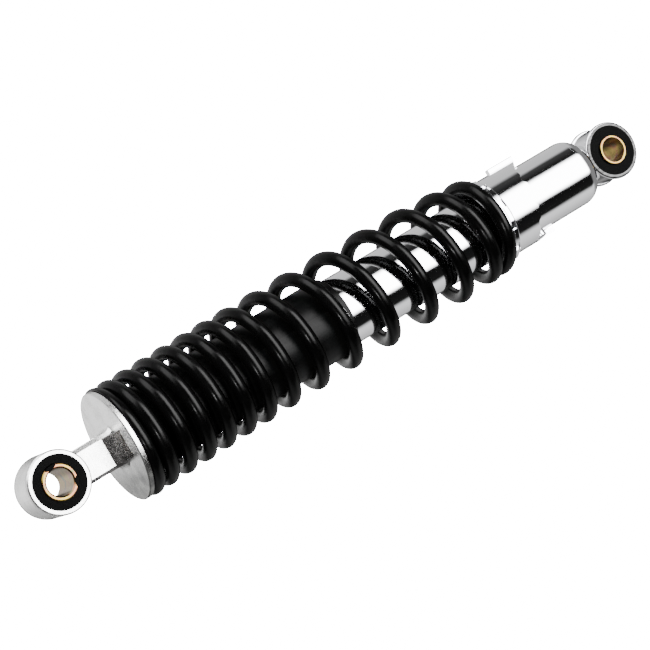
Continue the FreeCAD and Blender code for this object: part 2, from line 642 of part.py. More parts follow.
def main_spring():
    """Coil spring with closed, ground ends."""
    path = spring_path()
    first = path.FirstParameter
    span = (path.LastParameter - first) / SWEEP_SPANS
    spans = [path.toShape(first + span * index, first + span * (index + 1)) for index in range(SWEEP_SPANS)]
    section = Part.Wire([Part.makeCircle(WIRE_RADIUS, path.value(first), path.tangent(first)[0])])
    wire = Part.Wire(spans)
    swept = wire.makePipeShell([section], True, True)
    expected = math.pi * WIRE_RADIUS ** 2 * wire.Length
    print("spring: wire length %.0f mm, volume %.0f, section times length %.0f"
          % (wire.Length, swept.Volume, expected))
    height = SPRING_SEAT_DEPTH - SEAT_DEPTH
    return swept.common(Part.makeCylinder(2 * SPRING_RADIUS, height, Vector(0, 0, -SPRING_SEAT_DEPTH), UP))


# ---- preload adjuster ----

SEAT_WASHER_END = SPRING_SEAT_DEPTH + SEAT_WASHER_THICKNESS
COLLAR_TOP = SEAT_WASHER_END + FACE_GAP
CAM_BORE = BODY_RADIUS + FREE_GAP


def spring_seat():
    """Flat washer between the turning cam and the spring."""
    return ring(SEAT_WASHER_RADIUS, CAM_BORE, SPRING_SEAT_DEPTH, SEAT_WASHER_THICKNESS)


def cam_line_depth(angle):
    """Depth that the top of a lug keeps as the cam turns, by the angle after the first position."""
    return CAM_START_DEPTH + CAM_LIFT * angle / (CAM_STEP_ANGLE * (CAM_POSITIONS - 1))


def around(radius, angle, depth=0.0):
    """A point at a radius and an angle in degrees about the damper's axis."""
    heading = math.radians(angle)
    return Vector(radius * math.cos(heading), radius * math.sin(heading), -depth)


def ramp_cutter(start, end, start_depth, end_depth):
    """Everything below a sloping plane, between two angles, outside the damper's axis."""
    reach = CAM_RADIUS + CUTTER_MARGIN
    middle = (start + end) / 2
    wall = (CAM_RADIUS + CAM_BORE) / 2
    slope = (end_depth - start_depth) / (2 * wall * math.sin(math.radians(end - start) / 2))
    level = (start_depth + end_depth) / 2
    floor = CAM_END_DEPTH + CUTTER_FALL
    along = around(reach, middle + 90)
    corners = [along * -1 - UP * (level - slope * reach), along - UP * (level + slope * reach),
               along - UP * floor, along * -1 - UP * floor]
    below = Part.Face(Part.makePolygon(corners + corners[:1])).extrude(around(reach, middle))
    rays = [Vector(0, 0, -floor), around(3 * reach, start, floor), around(6 * reach, middle, floor),
            around(3 * reach, end, floor)]
    sector = Part.Face(Part.makePolygon(rays + rays[:1])).extrude(UP * (3 * CUTTER_FALL))
    return below.common(sector)


def notch_cutter(radius, angle, floor_depth):
    """A radial cylinder that leaves a half-round notch with its floor at a depth."""
    centre_depth = floor_depth + radius
    return Part.makeCylinder(radius, CAM_RADIUS, around(BODY_RADIUS / 2, angle, centre_depth), around(1, angle))


def cam_cutters(turn):
    """The tools that leave one of the cam's ramps, starting from one lug's angle."""
    first = LUG_ANGLE + turn
    wall_angle = math.degrees((LUG_RADIUS + FREE_GAP) / BODY_RADIUS)
    notch_radius = LUG_RADIUS + FREE_GAP
    last = first + 360 / LUG_COUNT - wall_angle
    wall = first + CAM_WALL_START
    top = first + CAM_WALL_TOP
    rest_floor = CAM_START_DEPTH - FACE_GAP / 2
    ridge_end = cam_line_depth(CAM_WALL_START) - RIDGE_GAP
    tools = [notch_cutter(notch_radius, first, rest_floor),
             ramp_cutter(first - wall_angle, first, rest_floor + notch_radius, rest_floor + notch_radius),
             ramp_cutter(first, wall, rest_floor, ridge_end),
             ramp_cutter(wall, top, ridge_end, CAM_END_DEPTH),
             ramp_cutter(top, last, CAM_END_DEPTH, CAM_END_DEPTH)]
    for position in range(1, CAM_POSITIONS):
        angle = position * CAM_STEP_ANGLE
        floor = cam_line_depth(angle) - CAM_NOTCH_DEPTH
        tools.append(notch_cutter(notch_radius, first + angle, floor))
    return tools


def grip_rib():
    """Rib along the cam's end wall."""
    inner = (CAM_RADIUS + CAM_BORE) / 2
    length = CAM_END_DEPTH - RIB_START_DEPTH
    rib = Part.makeBox(CAM_RADIUS + RIB_HEIGHT - inner, RIB_WIDTH, length,
                       Vector(inner, -RIB_WIDTH / 2, -CAM_END_DEPTH))
    outer_edges = [edge for edge in rib.Edges if edge.BoundBox.XMin > CAM_RADIUS + RIB_HEIGHT - MATCH]
    rib = rib.makeFillet(RIB_EDGE, outer_edges)
    rib.rotate(Vector(0, 0, 0), UP, RIB_ANGLE)
    return rib


def preload_cam():
    """Stepped cam sleeve with a notched collar for a C-spanner and a rib to grip."""
    collar_end = COLLAR_TOP + COLLAR_HEIGHT
    rim = COLLAR_EDGE
    sleeve = turned([(CAM_BORE, COLLAR_TOP), (COLLAR_RADIUS - rim, COLLAR_TOP),
                     (COLLAR_RADIUS, COLLAR_TOP + rim), (COLLAR_RADIUS, collar_end - rim),
                     (COLLAR_RADIUS - rim, collar_end),
                     (CAM_RADIUS, collar_end), (CAM_RADIUS, CAM_END_DEPTH), (CAM_BORE, CAM_END_DEPTH)])
    corner = [edge for edge in sleeve.Edges if abs(edge.CenterOfMass.z + collar_end) < MATCH
              and abs(edge.Curve.Radius - CAM_RADIUS) < MATCH]
    sleeve = sleeve.makeFillet(COLLAR_FILLET, corner)
    for index in range(LUG_COUNT):
        for tool in cam_cutters(360 * index / LUG_COUNT):
            sleeve = sleeve.cut(tool)
    for index in range(COLLAR_NOTCHES):
        notch = Part.makeBox(COLLAR_NOTCH_DEPTH * 2, COLLAR_NOTCH_WIDTH, COLLAR_HEIGHT,
                             Vector(COLLAR_RADIUS - COLLAR_NOTCH_DEPTH, -COLLAR_NOTCH_WIDTH / 2, -collar_end))
        notch.rotate(Vector(0, 0, 0), UP, 360 * (index + 0.5) / COLLAR_NOTCHES)
        sleeve = sleeve.cut(notch)
    return sleeve.fuse(grip_rib())


NODES = [top_sleeve, top_bush, top_bracket, dust_tube, piston_rod, rod_lock_nut, bump_stop_washer,
         bump_stop, rebound_bumper, rebound_stop, compression_shims, piston, rebound_shims, piston_nut,
         piston_ring, body_tube, body_end_cap, bottom_eye, bottom_bush, bottom_sleeve, cam_lugs,
         seal_case, rod_oil_seal, seal_spring, rod_guide, guide_o_ring, guide_bush, inner_cylinder,
         base_valve_body, base_valve_shims, base_valve_bolt, main_spring, spring_seat, preload_cam]


def main():
    """Build every node and write one STEP file for each."""
    os.makedirs("parts", exist_ok=True)
    for build in NODES:
        shape = build()
        name = build.__name__
        facts = (name, len(shape.Solids), shape.isValid(), shape.Volume)
        print("%-20s solids %d  valid %s  volume %.1f" % facts)
        shape.exportStep("parts/" + name + ".step")


main()
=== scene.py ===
"""Looks of the motorcycle rear shock absorber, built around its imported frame.  Units are metres.

+Z runs up the damper from the chromed lower eye to the aluminium upper eye, +Y along the bolt bores.
"""

import json
import math

import bpy
from mathutils import Matrix, Vector


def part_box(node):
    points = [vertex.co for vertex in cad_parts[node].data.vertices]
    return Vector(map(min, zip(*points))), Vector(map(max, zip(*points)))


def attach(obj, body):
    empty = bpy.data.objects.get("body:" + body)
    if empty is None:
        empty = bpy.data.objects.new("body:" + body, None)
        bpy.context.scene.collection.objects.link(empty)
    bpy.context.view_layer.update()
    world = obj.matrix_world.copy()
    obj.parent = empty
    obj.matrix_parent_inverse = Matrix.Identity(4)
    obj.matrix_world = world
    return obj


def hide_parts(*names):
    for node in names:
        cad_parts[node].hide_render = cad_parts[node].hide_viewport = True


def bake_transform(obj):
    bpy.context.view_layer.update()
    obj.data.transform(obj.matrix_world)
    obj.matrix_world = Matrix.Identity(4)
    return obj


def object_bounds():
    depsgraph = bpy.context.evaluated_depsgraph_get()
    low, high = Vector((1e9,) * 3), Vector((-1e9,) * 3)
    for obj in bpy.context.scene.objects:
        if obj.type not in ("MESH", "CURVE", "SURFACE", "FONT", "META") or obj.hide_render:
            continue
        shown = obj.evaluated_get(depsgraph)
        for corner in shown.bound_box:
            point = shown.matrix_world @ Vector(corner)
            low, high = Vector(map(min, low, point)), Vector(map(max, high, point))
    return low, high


MM = 0.001

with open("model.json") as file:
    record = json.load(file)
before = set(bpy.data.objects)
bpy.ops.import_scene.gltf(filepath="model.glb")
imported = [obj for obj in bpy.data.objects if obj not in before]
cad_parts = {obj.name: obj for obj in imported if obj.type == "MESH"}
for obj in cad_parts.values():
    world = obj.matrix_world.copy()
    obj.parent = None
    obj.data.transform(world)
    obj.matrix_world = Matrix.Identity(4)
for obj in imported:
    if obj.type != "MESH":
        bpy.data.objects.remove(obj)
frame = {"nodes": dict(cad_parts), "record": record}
cad_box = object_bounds()
mounts = {mount["name"]: mount for mount in frame["record"]["mounts"]}
UPPER_EYE = Vector(mounts["top_eye_bore"]["pos_m"])
LOWER_EYE = Vector(mounts["bottom_eye_bore"]["pos_m"])


# ---------------------------------------------------------------- materials

RAMP_START_DEPTH = 26.6 * MM    # where the bracket's ramps lie, which get painted shade
RAMP_END_DEPTH = 32.5 * MM
RAMP_FROM = 8.02 * MM
RAMP_TO = 18.0 * MM
RAMP_HALF_WIDTH = 6.7 * MM
BEVEL_FROM = 6.6 * MM           # the neck's bevels, which get painted shade, and where they begin below the eye
BEVEL_TO = 8.3 * MM
BEVEL_START_DEPTH = 12.0 * MM
SEAM_OFFSET = 4.6 * MM          # where the dust tube's mould seam runs, towards +X, and where its painted reflection ends
RIM_RADIUS = 13.9 * MM          # the turned rings beside the lower eye's bush, where painted shade darkens the chrome
RIM_FROM = 9.0 * MM
PAINTED_SHADE_FROM = -17 * MM            # painted shade darkens the cast disc fully up to here, towards -X, and not at all from the next
PAINTED_SHADE_TO = 0 * MM
GRAIN_SHADE = 0.85              # how dark a plain metal's grain is


class Shader:
    """A node material being built: short calls for the nodes that every material here uses."""

    def __init__(self, name, colour, metallic=0.0, roughness=0.5):
        self.material = bpy.data.materials.new(name)
        self.material.use_nodes = True
        self.tree = self.material.node_tree
        self.surface = self.tree.nodes["Principled BSDF"]
        self.surface.inputs["Base Color"].default_value = (*colour, 1.0)
        self.surface.inputs["Metallic"].default_value = metallic
        self.surface.inputs["Roughness"].default_value = roughness
        self.place = self.tree.nodes.new("ShaderNodeTexCoord").outputs["Object"]

    def node(self, kind, **settings):
        made = self.tree.nodes.new(kind)
        for key, value in settings.items():
            setattr(made, key, value)
        return made

    def link(self, source, target):
        self.tree.links.new(source, target)

    def stretched(self, scale):
        """Object coordinates stretched by a scale for each axis."""
        mapping = self.node("ShaderNodeMapping")
        mapping.inputs["Scale"].default_value = scale
        self.link(self.place, mapping.inputs["Vector"])
        return mapping.outputs["Vector"]

    def noise(self, size, detail=3.0, scale=(1.0, 1.0, 1.0), roughness=0.5):
        """Noise from 0 to 1 with features of about this size in metres."""
        texture = self.node("ShaderNodeTexNoise")
        texture.inputs["Scale"].default_value = 1.0 / size
        texture.inputs["Detail"].default_value = detail
        texture.inputs["Roughness"].default_value = roughness
        self.link(self.stretched(scale), texture.inputs["Vector"])
        return texture.outputs["Fac"]

    def ramp(self, value, stops):
        """A colour ramp from (position, colour) stops; a colour may be one grey number."""
        made = self.node("ShaderNodeValToRGB")
        elements = made.color_ramp.elements
        while len(elements) < len(stops):
            elements.new(0.5)
        for element, (position, colour) in zip(elements, stops):
            shade = colour if isinstance(colour, tuple) else (colour, colour, colour)
            element.position = position
            element.color = (*shade, 1.0)
        self.link(value, made.inputs["Fac"])
        return made.outputs["Color"]

    def remap(self, value, low, high, start=0.0, end=1.0):
        """The value's range start to end mapped onto low to high, clamped."""
        made = self.node("ShaderNodeMapRange")
        made.inputs["From Min"].default_value = start
        made.inputs["From Max"].default_value = end
        made.inputs["To Min"].default_value = low
        made.inputs["To Max"].default_value = high
        self.link(value, made.inputs["Value"])
        return made.outputs["Result"]

    def math(self, operation, first, second):
        """A math node; the second value may be a number."""
        made = self.node("ShaderNodeMath", operation=operation)
        self.link(first, made.inputs[0])
        if isinstance(second, float):
            made.inputs[1].default_value = second
        else:
            self.link(second, made.inputs[1])
        return made.outputs["Value"]

    def axes(self):
        """The X, Y and Z of the object coordinates, a socket for each."""
        parts = self.node("ShaderNodeSeparateXYZ")
        self.link(self.place, parts.inputs["Vector"])
        return parts.outputs["X"], parts.outputs["Y"], parts.outputs["Z"]

    def within(self, limits):
        """1 where each value lies between its start and end, 0 elsewhere."""
        mask = None
        for value, start, end in limits:
            for limit, operation in ((start, "GREATER_THAN"), (end, "LESS_THAN")):
                test = self.math(operation, value, limit)
                mask = test if mask is None else self.math("MULTIPLY", mask, test)
        return mask

    def size_of(self, value):
        """The value without its sign."""
        return self.math("ABSOLUTE", value, 0.0)

    def mixed(self, share, first, second):
        """The first colour where the share is 0, the second where it is 1."""
        made = self.node("ShaderNodeMix", data_type="RGBA")
        factor, colour_a, colour_b = (socket for socket in made.inputs
                                      if socket.identifier in ("Factor_Float", "A_Color", "B_Color"))
        self.link(share, factor)
        self.link(first, colour_a)
        self.link(second, colour_b)
        return next(socket for socket in made.outputs if socket.identifier == "Result_Color")

    def colour(self, source):
        self.link(source, self.surface.inputs["Base Color"])

    def roughness(self, source):
        self.link(source, self.surface.inputs["Roughness"])

    def bump(self, height, distance):
        """Bump from a height of 0 to 1, worth a distance in metres."""
        made = self.node("ShaderNodeBump")
        made.inputs["Distance"].default_value = distance
        self.link(height, made.inputs["Height"])
        self.link(made.outputs["Normal"], self.surface.inputs["Normal"])

    def set(self, name, value):
        self.surface.inputs[name].default_value = value


def chrome_material():
    """Bright chrome plate with faint waves and polishing marks, with painted shade making the lower
    eye's turned rings dark.
    """
    shader = Shader("chrome", (0.90, 0.905, 0.93), metallic=1.0, roughness=0.07)
    marks = shader.noise(0.9 * MM, detail=4.0, scale=(1.0, 1.0, 0.12))
    shader.roughness(shader.remap(marks, 0.05, 0.13, 0.35, 0.7))
    waves = shader.noise(16 * MM, detail=1.0, scale=(1.0, 1.0, 0.4))
    shader.bump(waves, 0.16 * MM)
    plate = shader.ramp(waves, [(0.3, (0.90, 0.905, 0.93)), (0.7, (0.94, 0.945, 0.96))])
    # painted shade: near-black chrome on the turned rings stands in for the darker reflection they show
    ring = shader.ramp(marks, [(0.3, 0.02), (0.7, 0.06)])
    shader.colour(shader.mixed(painted_shade_ring_mask(shader), plate, ring))
    return shader.material


def painted_shade_ring_mask(shader):
    """1 on the turned rings round the lower eye's bush, where the chrome gets painted shade, 0
    elsewhere.
    """
    across, along_bolt, height = shader.axes()
    level = shader.math("SUBTRACT", height, LOWER_EYE.z)
    square = shader.math("ADD", shader.math("MULTIPLY", across, across),
                         shader.math("MULTIPLY", level, level))
    near = shader.math("LESS_THAN", square, RIM_RADIUS ** 2)
    outer = shader.math("GREATER_THAN", shader.size_of(along_bolt), RIM_FROM)
    return shader.math("MULTIPLY", near, outer)


def cast_aluminium_material():
    """Bright cast aluminium with a blasted grain, darkened by painted shade towards -X and on the ramps
    under the neck.
    """
    shader = Shader("cast_aluminium", (0.90, 0.90, 0.89), metallic=1.0, roughness=0.28)
    grain = shader.noise(0.8 * MM, detail=5.0, roughness=0.65)
    tone = shader.noise(6 * MM, detail=4.0)
    unshaded_tone = shader.ramp(tone, [(0.34, (0.80, 0.80, 0.79)), (0.60, (0.97, 0.97, 0.96))])
    painted_shade_disc_tone = shader.ramp(tone, [(0.34, (0.10, 0.10, 0.10)), (0.66, (0.25, 0.25, 0.24))])
    across, _, height = shader.axes()
    # painted shade: the disc's face darkens towards -X, on its side away from the light
    painted_shade_share = shader.math("MULTIPLY", shader.remap(across, 1.0, 0.0, PAINTED_SHADE_FROM, PAINTED_SHADE_TO),
                            shader.math("LESS_THAN", height, UPPER_EYE.z - RAMP_START_DEPTH))
    bright = shader.mixed(painted_shade_share, unshaded_tone, painted_shade_disc_tone)
    # painted shade: the ramps and the -X bevels get a near-black tone for the dark reflections they show
    painted_shade_ramp_tone = shader.ramp(tone, [(0.35, (0.07, 0.07, 0.07)), (0.65, (0.26, 0.25, 0.25))])
    shader.colour(shader.mixed(painted_shade_mask(shader), bright, painted_shade_ramp_tone))
    shader.roughness(shader.remap(grain, 0.20, 0.38, 0.3, 0.7))
    shader.bump(grain, 0.09 * MM)
    return shader.material


def painted_shade_mask(shader):
    """1 on the wedges under the neck and on the neck's bevels towards -X, where the metal gets painted
    shade, 0 elsewhere.
    """
    across, along_bolt, height = shader.axes()
    wedges = shader.within([(shader.size_of(along_bolt), RAMP_FROM, RAMP_TO),
                            (shader.size_of(across), -RAMP_HALF_WIDTH, RAMP_HALF_WIDTH),
                            (height, UPPER_EYE.z - RAMP_END_DEPTH, UPPER_EYE.z - RAMP_START_DEPTH)])
    bevels = shader.within([(across, -BEVEL_TO, -BEVEL_FROM),
                            (height, UPPER_EYE.z - RAMP_END_DEPTH, UPPER_EYE.z - BEVEL_START_DEPTH)])
    return shader.math("MAXIMUM", wedges, bevels)


def yellow_zinc_material():
    """Yellow passivated zinc: gold with pink and green tints."""
    shader = Shader("yellow_zinc_steel", (0.16, 0.11, 0.02), metallic=1.0, roughness=0.22)
    tint = shader.noise(5 * MM, detail=2.0)
    shader.colour(shader.ramp(tint, [(0.30, (0.15, 0.11, 0.025)), (0.46, (0.24, 0.17, 0.04)),
                                     (0.60, (0.22, 0.09, 0.05)), (0.70, (0.09, 0.11, 0.05))]))
    marks = shader.noise(0.6 * MM, detail=3.0)
    shader.roughness(shader.remap(marks, 0.16, 0.30, 0.3, 0.7))
    shader.bump(marks, 0.01 * MM)
    return shader.material


def rubber_material():
    """Moulded black rubber."""
    shader = Shader("black_rubber", (0.001, 0.001, 0.001), roughness=0.6)
    grain = shader.noise(0.35 * MM, detail=3.0)
    bloom = shader.noise(4 * MM, detail=2.0)
    shader.colour(shader.ramp(bloom, [(0.3, 0.0006), (0.75, 0.0014)]))
    shader.roughness(shader.remap(grain, 0.46, 0.62, 0.3, 0.7))
    shader.bump(grain, 0.03 * MM)
    shader.set("Specular IOR Level", 0.025)
    return shader.material


def spring_coat_material():
    """Black gloss coat baked on the spring wire, with a slight orange peel."""
    shader = Shader("black_spring_coat", (0.0006, 0.0006, 0.0007), roughness=0.18)
    peel = shader.noise(2.2 * MM, detail=2.0)
    marks = shader.noise(6 * MM, detail=3.0)
    shader.colour(shader.ramp(marks, [(0.3, 0.0022), (0.8, 0.0040)]))
    shader.roughness(shader.remap(marks, 0.18, 0.28, 0.3, 0.7))
    shader.bump(peel, 0.06 * MM)
    shader.set("Specular IOR Level", 0.11)
    return shader.material


def black_plastic_material():
    """Black moulded plastic of the dust tube: a soft sheen, and a painted reflection that makes it a
    little lighter on one side of its seam.
    """
    shader = Shader("black_plastic", (0.002, 0.002, 0.002), roughness=0.38)
    flow = shader.noise(3 * MM, detail=3.0, scale=(1.0, 1.0, 0.15))
    dark = shader.ramp(flow, [(0.3, 0.0020), (0.7, 0.0032)])
    # painted reflection: the pale tone on one side of the seam stands in for the light the glossy tube
    # reflects there
    pale = shader.ramp(flow, [(0.3, 0.0048), (0.7, 0.0068)])
    across, _, _ = shader.axes()
    painted_reflection_side = shader.math("LESS_THAN", across, SEAM_OFFSET)
    shader.colour(shader.mixed(painted_reflection_side, dark, pale))
    shader.roughness(shader.remap(flow, 0.30, 0.42, 0.3, 0.7))
    shader.bump(flow, 0.02 * MM)
    shader.set("Specular IOR Level", 0.08)
    return shader.material


def plain_metal_material(name, colour, low, high, grain_size):
    """Machined or sintered metal of the inner parts."""
    shader = Shader(name, colour, metallic=1.0, roughness=(low + high) / 2)
    grain = shader.noise(grain_size, detail=3.0)
    darker = tuple(part * GRAIN_SHADE for part in colour)
    shader.colour(shader.ramp(grain, [(0.3, darker), (0.7, colour)]))
    shader.roughness(shader.remap(grain, low, high, 0.3, 0.7))
    shader.bump(grain, 0.01 * MM)
    return shader.material


def band_material():
    """Bronze-filled PTFE of the piston band."""
    shader = Shader("ptfe_band", (0.16, 0.09, 0.05), roughness=0.5)
    speckle = shader.noise(0.3 * MM, detail=3.0)
    shader.colour(shader.ramp(speckle, [(0.35, (0.12, 0.07, 0.04)), (0.65, (0.22, 0.13, 0.07))]))
    shader.bump(speckle, 0.01 * MM)
    return shader.material


MATERIALS = {
    "chrome": chrome_material(),
    "cast_aluminium": cast_aluminium_material(),
    "yellow_zinc_steel": yellow_zinc_material(),
    "black_rubber": rubber_material(),
    "black_spring_coat": spring_coat_material(),
    "black_plastic": black_plastic_material(),
    "ground_steel": plain_metal_material("ground_steel", (0.62, 0.63, 0.65), 0.18, 0.32, 0.8 * MM),
    "sintered_iron": plain_metal_material("sintered_iron", (0.36, 0.36, 0.38), 0.42, 0.62, 0.4 * MM),
    "guide_bronze": plain_metal_material("guide_bronze", (0.66, 0.46, 0.26), 0.22, 0.36, 0.7 * MM),
    "ptfe_band": band_material(),
}
SLOT_OF = {row["node"]: row["material_slot"] for row in frame["record"]["subparts"]}


def dress(piece, slot_name):
    """Give a piece its slot's material."""
    piece.data.materials.clear()
    piece.data.materials.append(MATERIALS[slot_name])


for node_name, node_object in frame["nodes"].items():
    dress(node_object, SLOT_OF[node_name])


# ---------------------------------------------------------------- mesh helpers

def new_piece(name, vertices, faces, smooth=True):
    """A mesh object from vertices and faces."""
    mesh = bpy.data.meshes.new(name)
    mesh.from_pydata(vertices, [], faces)
    mesh.validate()
    piece = bpy.data.objects.new(name, mesh)
    bpy.context.scene.collection.objects.link(piece)
    if smooth:
        mesh.polygons.foreach_set("use_smooth", [True] * len(mesh.polygons))
    return piece


def tube_faces(ring_count, ring_size):
    """Quads between successive rings of vertices."""
    faces = []
    for ring in range(ring_count - 1):
        here = ring * ring_size
        there = here + ring_size
        for index in range(ring_size):
            after = (index + 1) % ring_size
            faces.append((here + index, here + after, there + after, there + index))
    return faces


# ---------------------------------------------------------------- spring

WIRE_RADIUS = 3.45 * MM
SPRING_RADIUS = 24.3 * MM       # to the wire's centre
SPRING_BOW = 1.55 * MM          # sideways, towards +X, half way down
FIRST_TURN_RISE = 7.5 * MM      # from the upper seat to the wire's centre at turn 0
UPPER_END_TURNS = 1.25
LOWER_END_TURNS = 0.50
UPPER_END_PITCH = 6.95 * MM
LOWER_END_PITCH = 1.6 * MM
TURN_PITCHES = [9.3, 10.7, 10.8, 11.5, 11.5, 12.4, 15.7, 18.3, 21.4, 23.4, 22.4, 20.6, 15.5]
TAPER_TURNS = 2.6
TAPER_DEPTH = 2.3 * MM
RINGS_PER_TURN = 72
RING_SIZE = 28
CUT_TURN = 11.75                # where the stroke's part of the spring meets the preload's part
TURN_STEP = 0.001               # over which the wire's direction is taken


def spring_levels():
    """(turn, depth below the upper seat) of the wire's centre at each whole turn and both ends."""
    levels = [(-UPPER_END_TURNS, FIRST_TURN_RISE - UPPER_END_TURNS * UPPER_END_PITCH),
              (0.0, FIRST_TURN_RISE)]
    for pitch in TURN_PITCHES:
        turn, depth = levels[-1]
        levels.append((turn + 1.0, depth + pitch * MM))
    turn, depth = levels[-1]
    levels.append((turn + LOWER_END_TURNS, depth + LOWER_END_TURNS * LOWER_END_PITCH))
    return levels


def smooth_depth(levels, turn):
    """Depth at a turn, on a smooth curve through the levels."""
    index = 0
    while index < len(levels) - 2 and turn > levels[index + 1][0]:
        index += 1
    (t0, d0), (t1, d1) = levels[index], levels[index + 1]
    before = levels[max(index - 1, 0)]
    after = levels[min(index + 2, len(levels) - 1)]
    slope0 = (d1 - before[1]) / (t1 - before[0])
    slope1 = (after[1] - d0) / (after[0] - t0)
    span = t1 - t0
    s = (turn - t0) / span
    return ((2 * s ** 3 - 3 * s ** 2 + 1) * d0 + (s ** 3 - 2 * s ** 2 + s) * span * slope0
            + (3 * s ** 2 - 2 * s ** 3) * d1 + (s ** 3 - s ** 2) * span * slope1)


def smoothstep(value):
    """0 to 1 with an even start and end, clamped."""
    value = min(1.0, max(0.0, value))
    return value * value * (3 - 2 * value)


class SpringWire:
    """The spring wire: a slightly bowed right-hand helix of varying pitch below the upper seat."""

    def __init__(self):
        low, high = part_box("main_spring")
        self.top = high.z
        self.bottom = low.z
        self.levels = spring_levels()
        self.first = self.levels[0][0]
        self.last = self.levels[-1][0]

    def point(self, turn):
        taper = smoothstep(1.0 - (self.last - turn) / TAPER_TURNS)
        radius = SPRING_RADIUS - TAPER_DEPTH * taper
        angle = -2 * math.pi * turn
        depth = smooth_depth(self.levels, turn)
        share = (depth - self.levels[0][1]) / (self.levels[-1][1] - self.levels[0][1])
        bow = SPRING_BOW * math.sin(math.pi * share)
        return Vector((radius * math.cos(angle) + bow, radius * math.sin(angle), self.top - depth))

    def ring(self, turn):
        """The wire's surface around one point, flattened where the seats grind it."""
        centre = self.point(turn)
        behind = self.point(max(self.first, turn - TURN_STEP))
        ahead = self.point(min(self.last, turn + TURN_STEP))
        along = (ahead - behind).normalized()
        angle_here = -2 * math.pi * turn
        outward = Vector((math.cos(angle_here), math.sin(angle_here), 0))
        outward = (outward - along * outward.dot(along)).normalized()
        across = along.cross(outward)
        ring = []
        for index in range(RING_SIZE):
            angle = 2 * math.pi * index / RING_SIZE
            spot = centre + (outward * math.cos(angle) + across * math.sin(angle)) * WIRE_RADIUS
            spot.z = min(self.top, max(self.bottom, spot.z))
            ring.append(spot)
        return centre, ring


def spring_piece(wire, name, start, end):
    """One length of the spring wire, closed at the wire's real ends only."""
    count = round((end - start) * RINGS_PER_TURN) + 1
    centres = []
    vertices = []
    for number in range(count):
        centre, ring = wire.ring(start + (end - start) * number / (count - 1))
        centres += [centre] * RING_SIZE
        vertices += ring
    faces = tube_faces(count, RING_SIZE)
    if start == wire.first:
        faces.append(tuple(reversed(range(RING_SIZE))))
    if end == wire.last:
        faces.append(tuple(range((count - 1) * RING_SIZE, count * RING_SIZE)))
    piece = new_piece(name, vertices, faces)
    dress(piece, "black_spring_coat")
    return piece, centres, vertices


def blend_wire(piece, centres, vertices):
    """Set a wire's vertices to its centre line, bake its transform, then set them back to its surface.
    """
    flat = [number for centre in centres for number in centre]
    piece.data.vertices.foreach_set("co", flat)
    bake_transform(piece)
    final = [number for vertex in vertices for number in vertex]
    piece.data.vertices.foreach_set("co", final)
    piece.data.update()


def build_spring():
    """The spring in two lengths, the long upper one and the short lower one, in place of the imported
    spring.
    """
    wire = SpringWire()
    upper, centres, vertices = spring_piece(wire, "spring_upper_coils", wire.first, CUT_TURN)
    blend_wire(upper, centres, vertices)
    lower, centres, vertices = spring_piece(wire, "spring_lower_coils", CUT_TURN, wire.last)
    blend_wire(lower, centres, vertices)
    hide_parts("main_spring")


build_spring()


# ---------------------------------------------------------------- rubber flash on the upper sleeve

LIP_THICKNESS = 0.35 * MM
LIP_SINK = 0.05 * MM            # how deep the flash sits in the sleeve's end
LIPS = [(7.0, 19.0), (244.0, 17.0)]   # angle from +X towards +Z and half width, in degrees
LIP_STEPS = 12
LIP_WAIST = 0.15                # how far over the sleeve's wall it starts, as a share of the wall
LIP_FLARE = 0.5                 # how much less it covers at its ends
LIP_REACH = 0.5 * MM            # how far out on the bush it ends


def rubber_lip(index, angle, half_width):
    """A scrap of rubber over the sleeve's rim, wider at its ends than at its middle."""
    low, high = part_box("top_sleeve")
    sleeve = (high.z - low.z) / 2
    bore = mounts["top_eye_bore"]["dims"]["r_mm"] * MM
    bush_low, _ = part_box("top_bush")
    outer_y = low.y - LIP_THICKNESS
    vertices = []
    for step in range(LIP_STEPS + 1):
        share = 2 * step / LIP_STEPS - 1
        heading = math.radians(angle + half_width * share)
        inner = bore + (sleeve - bore) * (LIP_WAIST + LIP_FLARE * share * share)
        outer = sleeve + LIP_REACH
        corners = ((inner, low.y + LIP_SINK), (inner, outer_y), (sleeve, outer_y), (outer, bush_low.y))
        for radius, y in corners:
            vertices.append((radius * math.cos(heading), y, radius * math.sin(heading)))
    ring_size = 4
    faces = tube_faces(LIP_STEPS + 1, ring_size)
    faces.append(tuple(reversed(range(ring_size))))
    faces.append(tuple(range(LIP_STEPS * ring_size, (LIP_STEPS + 1) * ring_size)))
    lip = new_piece("sleeve_flash_%d" % index, vertices, faces, smooth=False)
    dress(lip, "black_rubber")
    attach(lip, "frame_sleeve")


for lip_index, (lip_angle, lip_half_width) in enumerate(LIPS):
    rubber_lip(lip_index, lip_angle, lip_half_width)


# ---------------------------------------------------------------- stage, light and camera

CAMERA_LENS = 114.3
SENSOR_WIDTH = 36.0
CAMERA_AZIMUTH = 3.5
CAMERA_ELEVATION = 24.72
CAMERA_DISTANCE = 0.955
CAMERA_ROLL = 211.03            # direction of +Z in the picture, in degrees from its right
AIM_DEPTH = 143.8 * MM          # the point of the damper's axis that the camera is aimed near
AIM_RIGHT = 6.12 * MM           # how far the aim lies from that point, in the picture's directions
AIM_TOP = 1.89 * MM


